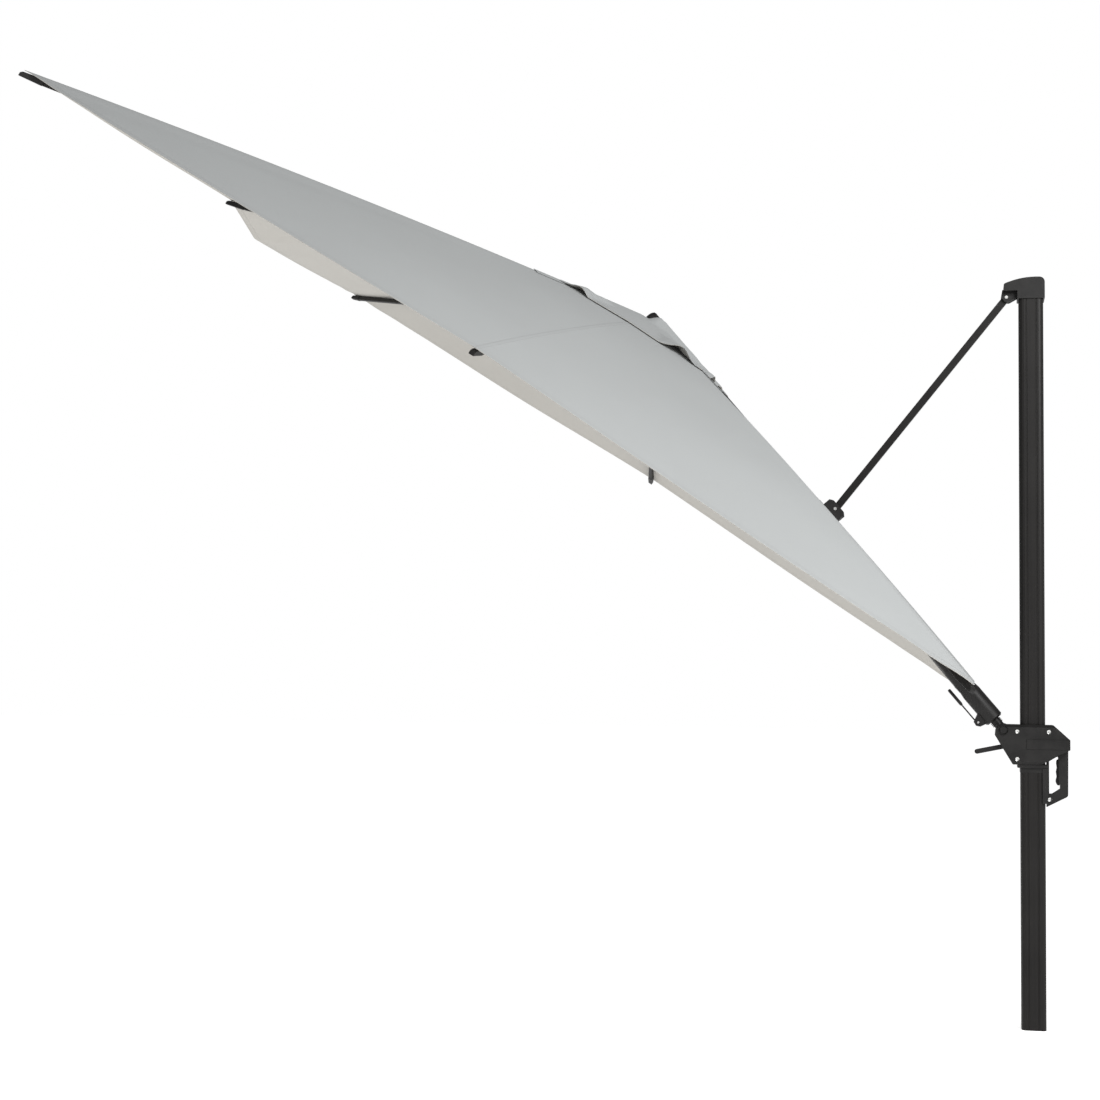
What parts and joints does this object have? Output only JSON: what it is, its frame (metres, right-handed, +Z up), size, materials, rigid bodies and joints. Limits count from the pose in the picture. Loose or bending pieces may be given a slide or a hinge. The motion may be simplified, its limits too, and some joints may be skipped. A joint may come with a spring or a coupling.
{
  "type": "cantilever parasol",
  "caption": "Square canopy on folding ribs, hung from a boom that a strut and a handled slider carry on a side mast.",
  "frame": {"origin": "centre of the mast's lower end face", "axes": "+Z up the mast, -X the way the boom and canopy reach, -Y the near side with the slider's screws and lock lever"},
  "size_m": [2.8391, 3.0198, 2.7021],
  "materials": {
    "canopy_fabric": "light grey woven polyester, matte",
    "mast_coat": "anthracite powder coat on aluminium, fine texture",
    "frame_coat": "anthracite powder coat, satin",
    "rib_coat": "anthracite powder coat, satin",
    "rib_plastic": "black moulded end pieces",
    "housing_plastic": "anthracite moulded plastic, fine grain",
    "grip_plastic": "anthracite moulded plastic, fine grain",
    "bright_steel": "bright zinc-plated steel"
  },
  "bodies": {
    "mast": {"mast_tube": "mast_coat", "mast_cap": "housing_plastic", "mast_foot_plug": "housing_plastic", "strut_top_pin": "bright_steel"},
    "strut": {"strut_bar": "frame_coat", "strut_foot_pin": "bright_steel"},
    "boom_carrier": {"boom_knuckle": "housing_plastic", "strut_bracket": "housing_plastic"},
    "boom": {"boom_sleeve": "housing_plastic", "boom_collar": "housing_plastic", "boom_tube": "frame_coat", "boom_end_cap": "housing_plastic", "canopy_hub": "housing_plastic", "roll_lever_pin": "bright_steel", "vent_flap": "canopy_fabric"},
    "roll_lever": {"roll_lever_rod": "frame_coat", "roll_lever_grip": "grip_plastic"},
    "slider": {"slider_shell_near": "housing_plastic", "slider_shell_far": "housing_plastic", "slider_band": "housing_plastic", "slider_bush": "housing_plastic", "slider_handle": "grip_plastic", "handle_screw": "bright_steel", "slider_screw_1": "bright_steel", "slider_screw_2": "bright_steel", "slider_screw_3": "bright_steel", "foot_bolt_near": "housing_plastic", "foot_bolt_far": "housing_plastic"},
    "travel_lever": {"travel_lock_lever": "housing_plastic"},
    "trigger": {"release_trigger": "grip_plastic"},
    "runner": {"canopy_runner": "housing_plastic"},
    "rib_1": {"rib_1": "rib_coat", "rib_tip_1": "rib_plastic", "canopy_panel_1": "canopy_fabric"},
    "stretcher_1": {"stretcher_1": "rib_coat"},
    "rib_2": {"rib_2": "rib_coat", "rib_tip_2": "rib_plastic", "canopy_panel_2": "canopy_fabric"},
    "stretcher_2": {"stretcher_2": "rib_coat"},
    "rib_3": {"rib_3": "rib_coat", "rib_tip_3": "rib_plastic", "canopy_panel_3": "canopy_fabric"},
    "stretcher_3": {"stretcher_3": "rib_coat"},
    "rib_4": {"rib_4": "rib_coat", "rib_tip_4": "rib_plastic", "canopy_panel_4": "canopy_fabric"},
    "stretcher_4": {"stretcher_4": "rib_coat"},
    "rib_5": {"rib_5": "rib_coat", "rib_tip_5": "rib_plastic", "canopy_panel_5": "canopy_fabric"},
    "stretcher_5": {"stretcher_5": "rib_coat"},
    "rib_6": {"rib_6": "rib_coat", "rib_tip_6": "rib_plastic", "canopy_panel_6": "canopy_fabric"},
    "stretcher_6": {"stretcher_6": "rib_coat"},
    "rib_7": {"rib_7": "rib_coat", "rib_tip_7": "rib_plastic", "canopy_panel_7": "canopy_fabric"},
    "stretcher_7": {"stretcher_7": "rib_coat"}
  },
  "joints": [
    {"name": "strut_swing", "type": "hinge", "parent": "mast", "child": "strut", "pos_m": [-0.075, 0, 2.283], "axis": [0, 1, 0], "range_deg": [0, 36.77]},
    {"name": "boom_lift", "type": "hinge", "parent": "strut", "child": "boom_carrier", "pos_m": [-0.61076, 0, 1.61263], "axis": [0, -1, 0], "range_deg": [0, 69.77]},
    {"name": "slider_travel", "type": "slide", "parent": "mast", "child": "slider", "axis": [0, 0, 1], "range_m": [0, 0.85047]},
    {"name": "boom_roll", "type": "hinge", "parent": "boom_carrier", "child": "boom", "pos_m": [-0.089, 0, 0.917], "axis": [-0.6468, 0, 0.7627], "range_deg": [-20, 20]},
    {"name": "roll_lever_swing", "type": "hinge", "parent": "boom", "child": "roll_lever", "pos_m": [-0.16525, 0, 0.93888], "axis": [0, -1, 0], "range_deg": [0, 70]},
    {"name": "travel_lever_swing", "type": "hinge", "parent": "slider", "child": "travel_lever", "pos_m": [-0.062, -0.029, 0.872], "axis": [0, -1, 0], "range_deg": [0, 22]},
    {"name": "trigger_squeeze", "type": "slide", "parent": "slider", "child": "trigger", "axis": [1, 0, 0], "range_m": [0, 0.005], "stiffness_N_per_m": 600, "springref_m": -0.002},
    {"name": "runner_travel", "type": "slide", "parent": "boom", "child": "runner", "axis": [-0.5446, 0, -0.8387], "range_m": [0, 0.93592]},
    {"name": "rib_1_fold", "type": "hinge", "parent": "boom", "child": "rib_1", "pos_m": [-1.28852, 0, 2.21532], "axis": [0, -1, 0], "range_deg": [0, 72], "deforming": ["canopy_panel_1", "vent_flap"]},
    {"name": "stretcher_1_swing", "type": "hinge", "parent": "rib_1", "child": "stretcher_1", "pos_m": [-1.83353, 0, 2.40795], "axis": [0, 1, 0], "range_deg": [0, 151.3]},
    {"name": "rib_2_fold", "type": "hinge", "parent": "boom", "child": "rib_2", "pos_m": [-1.27427, -0.04101, 2.20607], "axis": [0.593, -0.7071, -0.3851], "range_deg": [0, 76], "deforming": ["canopy_panel_2"]},
    {"name": "stretcher_2_swing", "type": "hinge", "parent": "rib_2", "child": "stretcher_2", "pos_m": [-1.65618, -0.43841, 2.34763], "axis": [-0.593, 0.7071, 0.3851], "range_deg": [0, 150.31]},
    {"name": "rib_3_fold", "type": "hinge", "parent": "boom", "child": "rib_3", "pos_m": [-1.23988, -0.058, 2.18373], "axis": [0.8387, 0, -0.5446], "range_deg": [0, 72], "deforming": ["canopy_panel_3"]},
    {"name": "stretcher_3_swing", "type": "hinge", "parent": "rib_3", "child": "stretcher_3", "pos_m": [-1.31356, -0.62, 2.07028], "axis": [-0.8387, 0, 0.5446], "range_deg": [0, 151.3]},
    {"name": "rib_4_fold", "type": "hinge", "parent": "boom", "child": "rib_4", "pos_m": [-1.20548, -0.04101, 2.1614], "axis": [0.593, 0.7071, -0.3851], "range_deg": [0, 76], "deforming": ["canopy_panel_4"]},
    {"name": "stretcher_4_swing", "type": "hinge", "parent": "rib_4", "child": "stretcher_4", "pos_m": [-0.92083, -0.43841, 1.87008], "axis": [-0.593, -0.7071, 0.3851], "range_deg": [0, 150.31]},
    {"name": "rib_5_fold", "type": "hinge", "parent": "boom", "child": "rib_5", "pos_m": [-1.20548, 0.04101, 2.1614], "axis": [-0.593, 0.7071, 0.3851], "range_deg": [0, 76], "deforming": ["canopy_panel_5"]},
    {"name": "stretcher_5_swing", "type": "hinge", "parent": "rib_5", "child": "stretcher_5", "pos_m": [-0.92083, 0.43841, 1.87008], "axis": [0.593, -0.7071, -0.3851], "range_deg": [0, 150.31]},
    {"name": "rib_6_fold", "type": "hinge", "parent": "boom", "child": "rib_6", "pos_m": [-1.23988, 0.058, 2.18373], "axis": [-0.8387, 0, 0.5446], "range_deg": [0, 72], "deforming": ["canopy_panel_6"]},
    {"name": "stretcher_6_swing", "type": "hinge", "parent": "rib_6", "child": "stretcher_6", "pos_m": [-1.31356, 0.62, 2.07028], "axis": [0.8387, 0, -0.5446], "range_deg": [0, 151.3]},
    {"name": "rib_7_fold", "type": "hinge", "parent": "boom", "child": "rib_7", "pos_m": [-1.27427, 0.04101, 2.20607], "axis": [-0.593, -0.7071, 0.3851], "range_deg": [0, 76], "deforming": ["canopy_panel_7"]},
    {"name": "stretcher_7_swing", "type": "hinge", "parent": "rib_7", "child": "stretcher_7", "pos_m": [-1.65618, 0.43841, 2.34763], "axis": [0.593, 0.7071, -0.3851], "range_deg": [0, 150.31]}
  ],
  "couplings": [
    {"joint": "boom_lift", "follows": "strut_swing", "ratio": 1.8975},
    {"joint": "slider_travel", "follows": "strut_swing", "m_per_rad": 1.3252},
    {"joint": "stretcher_1_swing", "follows": "rib_1_fold", "ratio": 2.1014},
    {"joint": "rib_2_fold", "follows": "rib_1_fold", "ratio": 1.0556},
    {"joint": "stretcher_2_swing", "follows": "rib_1_fold", "ratio": 2.0876},
    {"joint": "rib_3_fold", "follows": "rib_1_fold", "ratio": 1},
    {"joint": "stretcher_3_swing", "follows": "rib_1_fold", "ratio": 2.1014},
    {"joint": "rib_4_fold", "follows": "rib_1_fold", "ratio": 1.0556},
    {"joint": "stretcher_4_swing", "follows": "rib_1_fold", "ratio": 2.0876},
    {"joint": "rib_5_fold", "follows": "rib_1_fold", "ratio": 1.0556},
    {"joint": "stretcher_5_swing", "follows": "rib_1_fold", "ratio": 2.0876},
    {"joint": "rib_6_fold", "follows": "rib_1_fold", "ratio": 1},
    {"joint": "stretcher_6_swing", "follows": "rib_1_fold", "ratio": 2.1014},
    {"joint": "rib_7_fold", "follows": "rib_1_fold", "ratio": 1.0556},
    {"joint": "stretcher_7_swing", "follows": "rib_1_fold", "ratio": 2.0876},
    {"joint": "runner_travel", "follows": "rib_1_fold", "m_per_rad": 0.74478}
  ]
}
